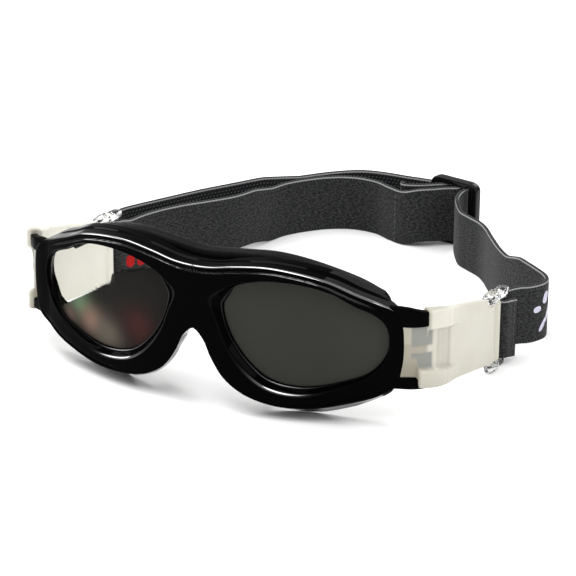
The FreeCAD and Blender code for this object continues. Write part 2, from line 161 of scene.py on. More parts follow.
def smooth_line(points, count, closed=False, per=24):
    """A smooth curve through the points, at even spacing."""
    p = np.asarray(points, float)
    if closed:
        p = np.vstack([p[-2:], p, p[:2]])
    else:
        for _ in range(2):
            p = np.vstack([2 * p[0] - p[1], p, 2 * p[-1] - p[-2]])
    gap = np.sqrt(np.linalg.norm(np.diff(p, axis=0), axis=1)) + 1e-9
    u = np.linspace(0, 1, per, endpoint=False)[:, None]
    line = []
    for k in range(2, len(p) - 3):
        g0, g1, g2 = gap[k - 1], gap[k], gap[k + 1]
        step = p[k + 1] - p[k]
        m0 = g1 * ((p[k] - p[k - 1]) / g0 - (p[k + 1] - p[k - 1]) / (g0 + g1)) + step
        m1 = g1 * ((p[k + 2] - p[k + 1]) / g2 - (p[k + 2] - p[k]) / (g1 + g2)) + step
        line.append((2 * u**3 - 3 * u**2 + 1) * p[k] + (u**3 - 2 * u**2 + u) * m0
                    + (3 * u**2 - 2 * u**3) * p[k + 1] + (u**3 - u**2) * m1)
    if not closed:
        line.append(p[-3][None])
    return resample(np.vstack(line), count, closed)


def arc(centre, radius, start, stop, count):
    a = np.radians(np.linspace(start, stop, count))
    return [(centre[0] + radius * math.cos(t), centre[1] + radius * math.sin(t)) for t in a]


def smoothstep(x, low, high):
    """From 0 at low to 1 at high, which may be the smaller of the two."""
    t = np.clip((np.asarray(x, float) - low) / (high - low), 0, 1)
    return t * t * (3 - 2 * t)


def wrap_y(x, depth):
    """Where the wrapped front lies at x, at a depth below its front surface."""
    return WRAP_AXIS_Y - np.sqrt(np.maximum((WRAP_RADIUS - depth) ** 2 - np.asarray(x, float) ** 2, 1.0))


def wrapped(xz, depth):
    xz = np.asarray(xz, float)
    return np.stack([xz[..., 0], wrap_y(xz[..., 0], depth), xz[..., 1]], -1)


def mesh_object(name, points, faces, material):
    """A smooth-shaded mesh piece from drawing points."""
    mesh = bpy.data.meshes.new(name)
    mesh.from_pydata(to_frame(points).tolist(), [], [tuple(int(v) for v in f) for f in faces])
    mesh.validate()
    mesh.polygons.foreach_set("use_smooth", [True] * len(mesh.polygons))
    piece = bpy.data.objects.new(name, mesh)
    bpy.context.collection.objects.link(piece)
    mesh.materials.append(material)
    return piece


def store(piece, name, values):
    """A number for each point of the mesh, for its material to read."""
    attribute = piece.data.attributes.new(name, "FLOAT", "POINT")
    attribute.data.foreach_set("value", np.asarray(values, np.float32))


def grid_faces(rows, cols, wrap_rows=False, wrap_cols=False, start=0):
    faces = []
    for r in range(rows if wrap_rows else rows - 1):
        for c in range(cols if wrap_cols else cols - 1):
            c2 = (c + 1) % cols
            near, far = start + r * cols, start + (r + 1) % rows * cols
            faces.append((near + c, near + c2, far + c2, far + c))
    return faces


def tube_faces(rows, cols):
    """A closed tube of rows of cols points, with its two ends filled."""
    faces = grid_faces(rows, cols, wrap_cols=True)
    faces.append(tuple(range(cols))[::-1])
    faces.append(tuple((rows - 1) * cols + c for c in range(cols)))
    return faces


def tube(rows):
    """Points and faces of the tube through rows of points."""
    return np.vstack(rows), tube_faces(len(rows), len(rows[0]))


def flip(faces):
    return [tuple(reversed(f)) for f in faces]


def mirror_x(points):
    return np.asarray(points, float) * np.array([-1.0, 1.0, 1.0])


def on_side(side, points, faces):
    """The +X piece as it is, or mirrored for the -X side."""
    return (points, faces) if side > 0 else (mirror_x(points), flip(faces))


def signed_power(x, power):
    return math.copysign(abs(x) ** power, x)


def round_box(half_w, half_h, radius, per=5):
    """A rounded rectangle's outline, as (a, b) points in order."""
    found = []
    for k, (sa, sb) in enumerate(((1, 1), (-1, 1), (-1, -1), (1, -1))):
        for j in range(per):
            a = math.pi / 2 * (k + j / (per - 1))
            found.append((sa * (half_w - radius) + radius * math.cos(a),
                          sb * (half_h - radius) + radius * math.sin(a)))
    return np.array(found)


# ---- materials -----------------------------------------------------------------------------------

class Nodes:
    """A short way to write a node tree."""

    def __init__(self, name):
        self.material = bpy.data.materials.new(name)
        self.material.use_nodes = True
        self.tree = self.material.node_tree
        self.shader = self.tree.nodes["Principled BSDF"]

    def add(self, kind, **settings):
        node = self.tree.nodes.new(kind)
        for key, value in settings.items():
            if hasattr(node, key):
                setattr(node, key, value)
            else:
                node.inputs[key.replace("_", " ")].default_value = value
        return node

    def link(self, source, target):
        self.tree.links.new(source, target)

    def drive(self, socket, source):
        self.link(source, self.shader.inputs[socket])

    def colour(self, source):
        self.drive("Base Color", source)

    def rough(self, source, *levels):
        """Roughness from a source through a ramp."""
        self.drive("Roughness", self.ramp(source, *levels))

    def value(self, **settings):
        for key, value in settings.items():
            self.shader.inputs[key.replace("_", " ")].default_value = value

    def attribute(self, name, output="Fac"):
        return self.add("ShaderNodeAttribute", attribute_name=name).outputs[output]

    def noise(self, scale, detail=2.0, rough=0.5, vector=None):
        node = self.add("ShaderNodeTexNoise", Scale=scale, Detail=detail, Roughness=rough)
        self.link(vector or self.add("ShaderNodeTexCoord").outputs["Object"], node.inputs["Vector"])
        return node.outputs["Fac"]

    def math(self, operation, a, b=None):
        node = self.add("ShaderNodeMath", operation=operation)
        for k, v in enumerate((a, b)):
            if v is None:
                continue
            if isinstance(v, (int, float)):
                node.inputs[k].default_value = v
            else:
                self.link(v, node.inputs[k])
        return node.outputs[0]

    def times(self, a, b):
        return self.math("MULTIPLY", a, b)

    def plus(self, a, b):
        return self.math("ADD", a, b)

    def ramp(self, source, low, high, out_low=0.0, out_high=1.0):
        node = self.add("ShaderNodeMapRange", interpolation_type="SMOOTHSTEP")
        for key, v in (("From Min", low), ("From Max", high), ("To Min", out_low), ("To Max", out_high)):
            node.inputs[key].default_value = v
        self.link(source, node.inputs["Value"])
        return node.outputs["Result"]

    def mix(self, factor, a, b):
        node = self.add("ShaderNodeMix", data_type="RGBA")
        for socket, v in ((node.inputs[0], factor), (node.inputs[6], a), (node.inputs[7], b)):
            if isinstance(v, (int, float)):
                socket.default_value = v
            elif isinstance(v, tuple):
                socket.default_value = (*v, 1.0)
            else:
                self.link(v, socket)
        return node.outputs[2]

    def bump(self, height, strength, distance):
        node = self.add("ShaderNodeBump", Strength=strength, Distance=distance)
        self.link(height, node.inputs["Height"])
        self.drive("Normal", node.outputs["Normal"])


def gloss_black(name, base=0.0008, rough=0.05, level=0.012, crest=True):
    """Polished black, brightest on its polished edges ("crest"), with fine handling marks."""
    n = Nodes(name)
    n.value(Base_Color=(base, base, base * 1.03, 1), IOR=1.46, Specular_IOR_Level=level)
    if crest:
        shine = n.attribute("crest")
        n.drive("Specular IOR Level", n.ramp(shine, 0.0, 1.0, level, 1.0))
        n.drive("IOR", n.ramp(shine, 0.0, 1.0, 1.46, 2.3))
    marks = n.noise(900, 4.0, 0.65)
    n.rough(marks, 0.45, 0.8, rough, rough + 0.1)
    n.bump(n.noise(160, 1.0), 0.04, 0.0004)
    return n.material


def satin_rubber(name):
    n = Nodes(name)
    speck = n.noise(2600, 3.0, 0.7)
    shade = n.mix(n.ramp(speck, 0.35, 0.75), (0.002, 0.002, 0.002), (0.009, 0.009, 0.0085))
    n.colour(shade)
    n.rough(n.noise(420, 3.0), 0.3, 0.7, 0.34, 0.5)
    n.value(Specular_IOR_Level=0.035, Sheen_Weight=0.02, Sheen_Roughness=0.4)
    n.bump(n.noise(2200, 2.0, 0.6), 0.25, 0.0002)
    return n.material


def webbing(name):
    """Charcoal elastic webbing. "along" and "across" (0 to 1) are the strap's own coordinates; "knit" is 1 on
    the openly knitted face."""
    n = Nodes(name)
    along, across, knit = n.attribute("along"), n.attribute("across"), n.attribute("knit")
    high = n.times(across, STRAP_WIDTH)
    # heather: short slanted flecks of pale fibre on a dark ground
    fleck = n.add("ShaderNodeCombineXYZ")
    n.link(n.plus(n.times(along, 0.95), n.times(high, 0.55)), fleck.inputs[0])
    n.link(n.times(high, 1.7), fleck.inputs[1])
    heather = n.noise(0.95, 3.0, 0.7, fleck.outputs[0])
    fibre = n.noise(3600, 3.0, 0.75)
    blotch = n.noise(260, 2.0, 0.5)
    mixed = n.plus(n.times(heather, 0.65), n.times(fibre, 0.35))
    dark = n.mix(n.ramp(mixed, 0.41, 0.60), (0.0022, 0.0026, 0.003), (0.043, 0.045, 0.043))
    shade = n.mix(n.ramp(blotch, 0.3, 0.7, 0.0, 0.25), dark, (0.013, 0.014, 0.014))
    # open knit: pale dashes in a diagonal lattice
    slope = n.math("SINE", n.plus(n.times(along, 4.4), n.times(high, 2.4)))
    rows = n.math("SINE", n.times(high, 5.2))
    lattice = n.ramp(n.plus(slope, rows), 0.5, 1.3)
    mesh = n.mix(lattice, (0.006, 0.0065, 0.008), (0.075, 0.078, 0.08))
    shade = n.mix(n.times(knit, 0.9), shade, mesh)
    # edges: a ribbed selvedge with one pale thread along the upper one
    edge = n.math("ABSOLUTE", n.math("SUBTRACT", across, 0.5))
    line = n.times(n.ramp(edge, 0.462, 0.470), n.ramp(edge, 0.484, 0.492, 1.0, 0.0))
    line = n.times(line, n.ramp(across, 0.4, 0.6))
    selvedge = n.ramp(edge, 0.425, 0.44)
    ticks = n.math("SINE", n.plus(n.times(along, 5.4), n.times(high, 2.6)))
    ribbed = n.mix(n.ramp(ticks, -0.4, 0.7), (0.004, 0.004, 0.005), (0.04, 0.042, 0.043))
    body = n.mix(n.times(selvedge, 0.75), shade, ribbed)
    n.colour(n.mix(line, body, (0.27, 0.27, 0.27)))
    n.value(Roughness=0.85, Sheen_Weight=0.08, Sheen_Roughness=0.5, Specular_IOR_Level=0.1)
    lift = n.plus(mixed, n.times(n.times(lattice, knit), 0.4))
    lift = n.plus(lift, n.times(n.times(ticks, selvedge), 0.25))
    n.bump(lift, 0.7, 0.0004)
    return n.material


def frosted_arm(name):
    """Milky soft plastic. Its tone is 1 where it is thick and bright, and it also carries painted light and
    painted shade; "thin" is 1 in the two windows.
    """
    n = Nodes(name)
    thin, tone_and_painted_light = n.attribute("thin"), n.attribute("tone_and_painted_light")
    cloud = n.noise(90, 1.0)
    milk = n.mix(n.ramp(cloud, 0.3, 0.7), (0.76, 0.742, 0.652), (0.80, 0.787, 0.702))
    # dark brown where the tone is low: the thin web, and the painted shade in the recess and towards the
    # lower edge
    body = n.mix(tone_and_painted_light, (0.16, 0.135, 0.09), milk)
    n.colour(n.mix(thin, body, (0.24, 0.245, 0.22)))
    n.value(Subsurface_Weight=0.15, Subsurface_Scale=0.002, Subsurface_Radius=(1.0, 0.9, 0.75),
            IOR=1.42, Specular_IOR_Level=0.3)
    n.rough(n.noise(420, 2.0), 0.3, 0.7, 0.30, 0.36)
    n.bump(n.noise(180, 1.0), 0.02, 0.0002)
    return n.material


def clear_plastic(name):
    n = Nodes(name)
    n.value(Base_Color=(0.93, 0.94, 0.93, 1), Transmission_Weight=1.0, IOR=1.5)
    n.rough(n.noise(700, 3.0), 0.4, 0.75, 0.03, 0.16)
    n.bump(n.noise(350, 2.0), 0.25, 0.0005)
    return n.material


def smoke_lens(name):
    n = Nodes(name)
    n.colour(n.mix(n.noise(40, 2.0), (0.026, 0.027, 0.022), (0.034, 0.035, 0.029)))
    n.value(IOR=1.5, Alpha=0.97, Specular_IOR_Level=0.06)
    n.rough(n.noise(500, 2.0), 0.4, 0.8, 0.04, 0.1)
    return n.material


def clear_lens_painted_shade(name):
    """Clear lens with painted shade over its lower part: the shade mask is 1 in that darker part, and the
    painted colour there is painted shade with patches of painted reflection.
    """
    n = Nodes(name)
    painted_shade_and_reflection = n.attribute("painted_shade_and_reflection", "Color")
    # painted shade and painted reflection, darkened further in soft random patches
    n.colour(n.mix(n.ramp(n.noise(55), 0.35, 0.75, 0, 0.3), painted_shade_and_reflection, (0.012, 0.012, 0.011)))
    n.drive("Alpha", n.ramp(n.attribute("painted_shade_mask"), 0.0, 1.0, 0.06, 0.96))
    n.value(Roughness=0.04, IOR=1.5, Specular_IOR_Level=0.03)
    return n.material


def film_print(name, colour, shade):
    n = Nodes(name)
    n.colour(n.mix(n.ramp(n.noise(1800, 4.0, 0.7), 0.35, 0.6), shade, colour))
    n.value(Roughness=0.6, Specular_IOR_Level=0.12)
    n.bump(n.noise(3000, 2.0), 0.4, 0.0002)
    return n.material


def thread_dark(name):
    n = Nodes(name)
    n.colour(n.mix(n.noise(4000, 3.0), (0.012, 0.012, 0.014), (0.05, 0.05, 0.055)))
    n.value(Roughness=0.7, Sheen_Weight=0.3)
    n.bump(n.noise(6000, 2.0), 0.5, 0.0001)
    return n.material


FRONT_BLACK = gloss_black("front_black")
SLIDER_BLACK = gloss_black("slider_satin", base=0.004, rough=0.2, level=0.16, crest=False)
RUBBER = satin_rubber("satin_rubber")
WEBBING = webbing("charcoal_webbing")
FROSTED = frosted_arm("frosted_arm")
CLEAR = clear_plastic("clear_plastic")
SMOKE = smoke_lens("smoke_lens")
PAINTED_SHADE_LENS = clear_lens_painted_shade("clear_lens_painted_shade")
PALE = film_print("pale_print", (0.62, 0.60, 0.72), (0.40, 0.38, 0.50))
RED = film_print("red_print", (0.50, 0.004, 0.004), (0.28, 0.003, 0.003))
THREAD = thread_dark("dark_thread")


# ---- front ---------------------------------------------------------------------------------------

RAYS = 496
FILL = 40
CENTRE = np.array(LENS_CENTRE)
EDGE_ROUND = 0.75
# places along a ray: shares of the bevel's width out from the opening, and mm in from the outline
BEVEL_SHARES = np.array([0, .03, .06, .1, .15, .2, .25, .3, .35, .42, .55, .7, .82, .9, .96, 1.0, 1.06,
                         1.14, 1.24, 1.36, 1.5])
EDGE_STEPS = np.array([3.6, 3.2, 2.9, 2.65, 2.45, 2.3, 2.15, 2.0, 1.8, 1.6, 1.4, 1.25, 1.1, 0.95, 0.8, 0.66,
                       0.52, 0.4, 0.28, 0.18, 0.1, 0.04, 0.0])
# the lip round the opening: its depth at shares of the bevel's width
LIP = [[0, .04, .1, .18, .26, .33, .4, .6, .8, .92, 1.0, 1.1, 1.25, 1.5],
       [2.75, 2.25, 2.0, 1.95, 2.06, 2.2, 1.95, 1.15, .45, .13, 0, -.07, -.05, 0]]
# shares of the way from the front's edge to its back, and from there to the opening
WALL_SHARES = np.array([0.03, 0.12, 0.25, 0.36, 0.44, 0.48, 0.52, 0.56, 0.62, 0.75, 0.88, 0.94, 0.98])
BACK_SHARES = (0.03, 0.1, 0.25, 0.45, 0.7, 0.9, 1.0)
# the opening's inner wall, back to front: mm out from the opening, more at the temple, depth, less there
INNER_WALL = ((0.25, 1.5, 7.6, 0), (0.1, 1.5, 7.0, 0), (0.0, 1.4, 6.0, 0), (0.0, 1.3, 5.1, 0.6),
              (0.0, 0.9, 4.2, 1.2), (0.0, 0.3, 3.3, 1.6), (0.0, 0.0, 2.6, 1.3))


def polar(curve):
    """Angle and distance of each point from the lens centre."""
    rel = curve - CENTRE
    return np.arctan2(rel[:, 1], rel[:, 0]) % (2 * math.pi), np.linalg.norm(rel, axis=1)


def radius_at(angles, curve):
    a, r = polar(curve)
    order = np.argsort(a)
    return np.interp(angles, a[order], r[order], period=2 * math.pi)


def front_rays():
    """Directions from the lens centre, with the two corners on the middle plane hit exactly."""
    corners = [math.atan2(z - CENTRE[1], -CENTRE[0]) % (2 * math.pi) for z in (OUTLINE[0][1], OUTLINE[-1][1])]
    angles = np.arange(RAYS) * 2 * math.pi / RAYS
    picks = []
    for c in corners:
        k = int(np.argmin(np.abs(angles - c)))
        angles[k] = c
        picks.append(k)
    return angles, picks


def distance_to(points, line):
    """Distance of each (x, z) point from a closed polyline, by its corners and runs."""
    a, b = line, np.roll(line, -1, 0)
    ab = b - a
    found = np.full(len(points), 1e9)
    for k in range(0, len(points), 2000):
        p = points[k:k + 2000, None, :]
        t = np.clip(((p - a) * ab).sum(2) / (ab * ab).sum(1), 0, 1)
        found[k:k + 2000] = np.sqrt((((p - a) - ab * t[..., None]) ** 2).sum(2)).min(1)
    return found


def near_angle(angles, middle, spread):
    """A smooth weight, 1 at an angle round the lens in degrees."""
    return np.exp(-((np.degrees(angles) - middle) / spread) ** 2)


def back_shifts(angles, corners):
    """How far the outline has moved at the back, for each ray."""
    back = np.array(BACK_SHIFT)
    key = polar(back[:, :2])[0]
    order = np.argsort(key)
    shift = np.stack([np.interp(angles, key[order], back[order, k], period=2 * math.pi) for k in (2, 3)], 1)
    for _ in range(6):
        shift = (np.roll(shift, 1, 0) + 2 * shift + np.roll(shift, -1, 0)) / 4
    shift[corners, 0] = 0.0
    return shift


def ray_steps(gaps, bevel):
    """Distances out from the opening along each ray, close together on the bevel and at the outline."""
    steps = []
    for gap, width in zip(gaps, bevel):
        first = BEVEL_SHARES * width
        last = gap - EDGE_STEPS * min(1.0, (gap - first[-1] - 0.3) / EDGE_STEPS[0])
        steps.append(np.concatenate([first, np.linspace(first[-1], last[0], FILL)[1:-1], last]))
    return np.array(steps)


def face_relief(angles, flat, d_out, share, temple):
    """How deep the face lies at each place, and how polished it is there."""
    x, z = flat[..., 0], flat[..., 1]
    inside = EDGE_ROUND - d_out
    rounding = np.where(inside > 0, EDGE_ROUND - np.sqrt(np.maximum(EDGE_ROUND**2 - inside**2, 0)), 0)
    brow_side = smoothstep(z, 38, 42)
    brow_groove = brow_side * smoothstep(np.abs(d_out - 1.55), 0.62, 0.22) * 0.55
    low_side = smoothstep(z, 16, 10) * smoothstep(x, 26, 36)
    low_groove = low_side * smoothstep(np.abs(d_out - 1.5), 0.55, 0.2) * 0.3
    lip = (1 - 0.45 * temple) * np.interp(share, *LIP)
    slope = 0.25 * smoothstep(d_out, 3.5, 0) * (1 - brow_side)
    low_lens = near_angle(angles, 248, 30)[:, None]
    crests = (
        brow_side * smoothstep(d_out, 0.42, 0.25),
        brow_side * smoothstep(np.abs(d_out - 1.98), 0.3, 0.14) * 0.5,
        smoothstep(np.abs(share - 0.15), 0.13, 0.05) * (0.2 + 0.4 * low_lens),
        smoothstep(np.abs(share - 0.98), 0.22, 0.08) * (0.1 + 0.5 * low_lens),
        low_lens * smoothstep(share, 0.80, 0.87) * smoothstep(share, 1.04, 0.95),
    )
    return rounding + brow_groove + low_groove + lip + slope, np.maximum.reduce(crests)


def temple_cut(x):
    """How far back the front may reach beside the arms' sockets."""
    return 22.5 - 0.441 * (np.abs(x) - 50)


def side_wall(edge, shift, reach, foot, riser):
    """From the front's edge to its back, with a ledge along the brow."""
    cut = temple_cut(edge[:, 0] + shift[:, 0])
    walls = []
    for q in WALL_SHARES:
        lift = q + 0.75 * riser * (smoothstep(q, 0.46, 0.54) - q)
        out = edge + shift * lift[:, None]
        out[:, 1] -= 0.75 * foot * q**2
        pt = wrapped(out, EDGE_ROUND + (reach - EDGE_ROUND) * q)
        pt[:, 1] = np.minimum(pt[:, 1], np.maximum(cut, wrap_y(out[:, 0], EDGE_ROUND + 0.3 + q)))
        walls.append(pt)
    return np.stack(walls, 1)


def back_face(tail, edge, rear_open, reach, middle):
    """From the wall's last points to the back of the opening."""
    backs = []
    for s in BACK_SHARES:
        flat = tail[:, [0, 2]] * (1 - s) + rear_open * s
        level = reach - (reach - FRONT_DEPTH) * smoothstep(s, 0.1, 0.4)
        pt = wrapped(flat, level + 0.12 * math.sin(math.pi * s))
        behind_lens = wrap_y(flat[:, 0], LENS_FRONT + LENS_THICK)
        pt[:, 1] = np.minimum(pt[:, 1], np.maximum(temple_cut(flat[:, 0]), behind_lens))
        # on the middle plane the back face starts at the plane itself
        way_in = (s - BACK_SHARES[0]) / (1 - BACK_SHARES[0])
        pt[middle] = wrapped(edge[middle] * (1 - way_in) + rear_open[middle] * way_in, FRONT_DEPTH)
        backs.append(pt)
    return np.stack(backs, 1)


def front_piece():
    """The front's +X half as points, faces and polish. Rays from the lens centre cross its face, side wall,
    back and the opening's inner wall."""
    aperture = smooth_line(APERTURE, 720, closed=True)
    outline = smooth_line(OUTLINE + [(-x, z) for x, z in OUTLINE[-2:0:-1]], 1600, closed=True)
    angles, (notch, brow) = front_rays()
    ways = np.stack([np.cos(angles), np.sin(angles)], 1)
    temple = smoothstep(ways[:, 0], 0.5, 0.9)
    inner = radius_at(angles, aperture)
    outer = radius_at(angles, outline[outline[:, 0] > -0.2])
    middle = (np.arange(RAYS) >= brow) & (np.arange(RAYS) <= notch)
    outer[middle] = CENTRE[0] / -ways[middle, 0]
    edge = CENTRE + ways * outer[:, None]
    edge[middle, 0] = 0.0

    bevel = (0.8 + 1.4 * near_angle(angles, 215, 55) + 2.6 * near_angle(angles, 160, 9)
             + 0.9 * near_angle(angles, 280, 40))
    steps = ray_steps(outer - inner, bevel)
    cols = steps.shape[1]
    flat = CENTRE + ways[:, None, :] * (inner[:, None, None] + steps[:, :, None])
    flat[:, -1] = edge
    d_out = distance_to(flat.reshape(-1, 2), outline).reshape(RAYS, cols)
    d_in = distance_to(flat.reshape(-1, 2), aperture).reshape(RAYS, cols)
    d_in[:, 0] = 0
    depth, crest = face_relief(angles, flat, d_out, d_in / bevel[:, None], temple[:, None])
    face = wrapped(flat, depth)

    foot = np.exp(-((edge[:, 0] - 35) / 10) ** 2) * smoothstep(edge[:, 1], 14, 8)
    reach = FRONT_DEPTH + 1.6 * foot
    riser = smoothstep(edge[:, 1], 38, 42)
    walls = side_wall(edge, back_shifts(angles, [notch, brow]), reach, foot, riser)
    rear_open = CENTRE + ways * (inner + 0.5 + 1.6 * temple)[:, None]
    backs = back_face(walls[:, -1], edge, rear_open, reach, middle)
    inside = CENTRE + ways * inner[:, None]
    inner_wall = np.stack([wrapped(inside + ways * (out + more * temple[:, None]), deep - less * temple)
                           for out, more, deep, less in INNER_WALL], 1)
    inner_wall[..., 1] = np.minimum(inner_wall[..., 1], backs[:, -1:, 1])

    grid = np.concatenate([face, walls, backs, inner_wall], 1)
    total, n_wall = grid.shape[1], len(WALL_SHARES)
    polish = np.zeros((RAYS, total))
    polish[:, :cols] = crest
    polish[:, cols:cols + n_wall] = 0.1 * smoothstep(np.abs(WALL_SHARES - 0.5), 0.06, 0.02) * riser[:, None]
    faces = []
    for i in range(RAYS):
        j = (i + 1) % RAYS
        both = middle[i] and middle[j]
        for c in range(total):
            d = (c + 1) % total
            if not (both and cols - 1 <= c < cols + n_wall):
                faces.append((i * total + c, j * total + c, j * total + d, i * total + d))
    return grid.reshape(-1, 3), faces, polish.ravel()


def sag_right(points):
    """The -X rim hangs a little lower at its temple than the +X one, and is broader there."""
    p = points.copy()
    p[:, 2] -= 1.6 * smoothstep(-p[:, 0], 24, 56) * smoothstep(p[:, 2], 26, 10)
    p[:, 0] -= 2.2 * smoothstep(-points[:, 0], 60.6, 65.0)
    p[:, 2] = np.maximum(p[:, 2], TABLE_Z + 0.02)
    return p


def join(parts):
    """One list of points and one of faces from several pairs."""
    points, faces, start = [], [], 0
    for p, f in parts:
        points.append(p)
        faces += [tuple(v + start for v in face) for face in f]
        start += len(p)
    return np.vstack(points), faces


def prong(low, high_at):
    """A bar from inside the front's temple, round the bend and into the arm's socket. high_at is its upper
    edge's height at 0, 30, 60 and 100 % of the way."""
    lead = [(60.6, 15.2), (62.6, 16.0)]
    bend = arc((ARM_X - BEND_RADIUS, BEND_Y), BEND_RADIUS, BEND_START, 0, 9)
    path = smooth_line(lead + bend + [(ARM_X, 28.8)], 40)
    way = unit(np.gradient(path, axis=0))
    rows = []
    for k, (p, m) in enumerate(zip(path, way)):
        high = np.interp(k / (len(path) - 1), [0, 0.3, 0.6, 1], high_at)
        shape = round_box(1.3, (high - low) / 2, 0.55)
        rows.append(np.stack([p[0] + m[1] * shape[:, 0], p[1] - m[0] * shape[:, 0],
                              (high + low) / 2 + shape[:, 1]], 1))
    return tube(rows)


def make_front():
    points, faces, polish = front_piece()
    low_bar = prong(12.6, (16.6, 16.4, 16.0, 15.6))
    bars = [prong(33.4, (40.2, 39.6, 38.2, 36.7)), low_bar]
    bars += [(mirror_x(p), flip(f)) for p, f in (prong(33.4, (38.8, 38.4, 37.4, 36.2)), low_bar)]
    bar_polish = [np.full(len(p), 0.02) for p, _ in bars]
    points, faces = join([(points, faces), (sag_right(mirror_x(points)), flip(faces))] + bars)
    piece = mesh_object("front", points, faces, FRONT_BLACK)
    store(piece, "crest", np.concatenate([polish, polish] + bar_polish))
    clean(piece)
    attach(piece, "front")
    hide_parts("front_frame")


def clean(piece, distance=0.00002):
    """Welds the halves, drops unused points and makes the faces look outwards."""
    work = bmesh.new()
    work.from_mesh(piece.data)
    bmesh.ops.remove_doubles(work, verts=work.verts, dist=distance)
    bmesh.ops.delete(work, geom=[v for v in work.verts if not v.link_faces], context="VERTS")
    bmesh.ops.recalc_face_normals(work, faces=work.faces)
    work.to_mesh(piece.data)
    work.free()


LENS_HUB = (35.2, 28.6)
LENS_BEVEL = 0.4
# the upper edge of the painted shade over the lens as x and z, the painted shade's dark ground colour, and
# its patches of painted reflection as x, z, size, colour
PAINTED_SHADE_EDGE = [(-59.5, -45, -37.5, -33.2, -32.4, -30, -23, -12),
             (15.4, 25.0, 30.1, 32.6, 36.2, 37.4, 39.8, 44.0)]
PAINTED_SHADE_GROUND = (0.010, 0.0095, 0.0085)
PAINTED_REFLECTION_PATCHES = [(-47, 22.0, 5.0, (0.090, 0.150, 0.085)), (-41.5, 17.5, 4.5, (0.220, 0.130, 0.100)),
                (-35, 14.5, 6.0, (0.130, 0.110, 0.085)), (-22, 21.0, 6.5, (0.045, 0.014, 0.012)),
                (-51, 17.0, 3.0, (0.090, 0.060, 0.050))]


def shade_and_reflection_colours(points):
    """The painted colour over the lens: soft patches of painted reflection on a dark ground of painted shade.
    """
    colour = np.tile(PAINTED_SHADE_GROUND + (1.0,), (len(points), 1))
    for x, z, size, rgb in PAINTED_REFLECTION_PATCHES:
        weight = np.exp(-((points[:, 0] - x) ** 2 + (points[:, 2] - z) ** 2) / size**2)[:, None]
        colour[:, :3] = colour[:, :3] * (1 - weight) + np.array(rgb) * weight
    return colour


def make_lens(side):
    """A curved lens, bevelled under the rim: rings of points out over its face and back over its rear."""
    rim = smooth_line(APERTURE, 320, closed=True)
    centre = np.array(LENS_HUB)
    rel = rim - centre
    size = np.linalg.norm(rel, axis=1)[:, None]
    bevel = LENS_BEVEL
    steps = [(s, 0.0) for s in np.linspace(0.04, 1.0, 44)]
    steps += [(1.0, bevel), (1.0, LENS_THICK - bevel)] + [(s, LENS_THICK) for s in np.linspace(1.0, 0.1, 12)]
    rings = []
    for s, depth in steps:
        grow = 0.9 if depth in (bevel, LENS_THICK - bevel) else 0.55
        flat = centre + rel * s * (1 + grow * s / size)
        set_in = LENS_FRONT - 0.5 * (1 - s**2) - 1.4 * smoothstep(flat[:, 0], 34, 58)
        rings.append(wrapped(flat, set_in + depth))
    points = np.vstack(rings + [wrapped(centre[None], LENS_FRONT - 0.5 + d) for d in (0, LENS_THICK)])
    cols = len(rim)
    faces = grid_faces(len(rings), cols, wrap_cols=True)
    hub, end = len(rings) * cols, (len(rings) - 1) * cols
    faces += [(hub, (c + 1) % cols, c) for c in range(cols)]
    faces += [(hub + 1, end + c, end + (c + 1) % cols) for c in range(cols)]
    if side < 0:
        points, faces = sag_right(mirror_x(points)), flip(faces)
    name, material = ("lens_dark", SMOKE) if side > 0 else ("lens_with_painted_shade", PAINTED_SHADE_LENS)
    piece = mesh_object(name, points, faces, material)
    clean(piece)
    if side < 0:
        got = np.array([v.co for v in piece.data.vertices]) / MM - ORIGIN
        # painted shade below a drawn edge across the lens, with patches of painted reflection in it
        store(piece, "painted_shade_mask", smoothstep(np.interp(got[:, 0], *PAINTED_SHADE_EDGE) - got[:, 2], -0.5, 0.5))
        painted_shade_and_reflection = piece.data.attributes.new("painted_shade_and_reflection", "FLOAT_COLOR", "POINT")
        painted_shade_and_reflection.data.foreach_set("color", shade_and_reflection_colours(got).astype(np.float32).ravel())
    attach(piece, "front")
    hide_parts("lens_left" if side > 0 else "lens_right")


CUSHION_TOP = [(0, 50.4), (12, 51.3), (23, 51.8), (32, 50.5), (41.5, 47.6), (48.5, 44.6), (53.6, 41.4),
               (56.0, 39.9)]
CUSHION_DROP = 5.5
CUSHION_HALF_DEPTH = 2.75
NOSE_HALF = (1.9, 2.5)
PAD_GAP = 0.05
NOSE_EDGE = [(7.2, 19.8), (10.0, 14.8), (12.6, 10.6), (15.3, 7.2), (18.8, 4.2)]


def make_cushion():
    """The brow cushion: one crowned strip of soft rubber along the front's back."""
    line = smooth_line([(-x, z) for x, z in CUSHION_TOP[:0:-1]] + CUSHION_TOP, 200)
    shape = round_box(CUSHION_DROP / 2, CUSHION_HALF_DEPTH, 1.6, per=6)
    rows = []
    for k, (x, z) in enumerate(line):
        t = k / (len(line) - 1)
        full = min(1.0, (min(t, 1 - t) * len(line) + 0.4) / 3.4) ** 0.4
        crown = 0.25 * math.cos(math.pi * t * 2) * (shape[:, 1] > 0)
        high = z - CUSHION_DROP / 2 + shape[:, 0] * full
        deep = FRONT_DEPTH + PAD_GAP + CUSHION_HALF_DEPTH + shape[:, 1] * (0.75 + 0.25 * full) + crown
        rows.append(wrapped(np.stack([np.full(len(high), x), high], 1), deep))
    piece = mesh_object("brow_pad", *tube(rows), RUBBER)
    clean(piece)
    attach(piece, "front")
    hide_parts("brow_cushion")


